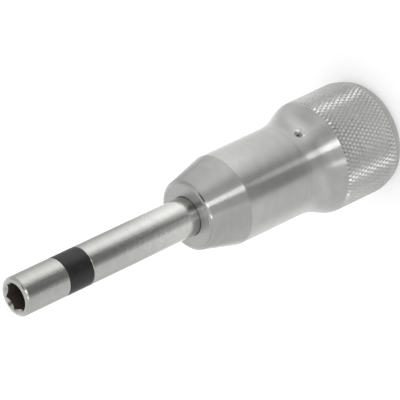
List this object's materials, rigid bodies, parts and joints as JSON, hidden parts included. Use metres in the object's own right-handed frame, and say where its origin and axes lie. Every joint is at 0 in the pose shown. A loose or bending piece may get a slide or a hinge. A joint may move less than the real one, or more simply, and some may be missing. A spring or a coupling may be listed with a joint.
{
  "type": "torque screwdriver",
  "caption": "Preset torque screwdriver with a slim hexagon bit holder, a turned cone handle and a diamond-knurled grip; its shaft slips round on a ball clutch at the set torque.",
  "frame": {"origin": "centre of the grip's flat rear face", "axes": "+Z along the tool's axis from the rear face to the tip, -Y through the lock screw in the flare, +X to the right of that"},
  "size_m": [0.0294, 0.0294, 0.1146],
  "materials": {
    "handle_metal": "satin, fine turned",
    "grip_metal": "satin, diamond knurled",
    "shaft_steel": "fine ground, satin plated",
    "marker_black": "satin black",
    "magnet_plating": "plated",
    "seal_rubber": "matt",
    "bearing_bronze": "sintered",
    "hardened_steel": "hardened and ground",
    "ball_steel": "polished",
    "spring_steel": "oiled spring wire",
    "screw_steel": "blackened",
    "pad_nylon": "plain"
  },
  "bodies": {
    "handle": {"front_housing": "handle_metal", "grip_knob": "grip_metal", "nose_seal": "seal_rubber", "nose_bush": "bearing_bronze", "hardened_washer": "hardened_steel", "thrust_washer": "bearing_bronze", "guide_pin_1": "hardened_steel", "guide_pin_2": "hardened_steel", "guide_pin_3": "hardened_steel", "spring_seat": "hardened_steel", "adjusting_nut": "hardened_steel", "lock_screw": "screw_steel", "lock_pad": "pad_nylon"},
    "shaft": {"output_shaft": "shaft_steel", "marker_ring": "marker_black", "bit_magnet": "magnet_plating", "drive_cam": "hardened_steel", "cam_pin": "hardened_steel"},
    "clutch": {"pressure_plate": "hardened_steel", "clutch_ball_1": "ball_steel", "clutch_ball_2": "ball_steel", "clutch_ball_3": "ball_steel", "clutch_ball_4": "ball_steel", "clutch_ball_5": "ball_steel", "clutch_ball_6": "ball_steel", "torque_spring": "spring_steel"}
  },
  "joints": [
    {"name": "shaft_spin", "type": "hinge", "parent": "handle", "child": "shaft", "pos_m": [0, 0, 0.05], "axis": [0, 0, 1], "continuous": true},
    {"name": "plate_lift", "type": "slide", "parent": "handle", "child": "clutch", "axis": [0, 0, -1], "range_m": [0, 0.0008], "stiffness_N_per_m": 2000, "springref_m": -0.002, "deforming": ["torque_spring"]}
  ]
}
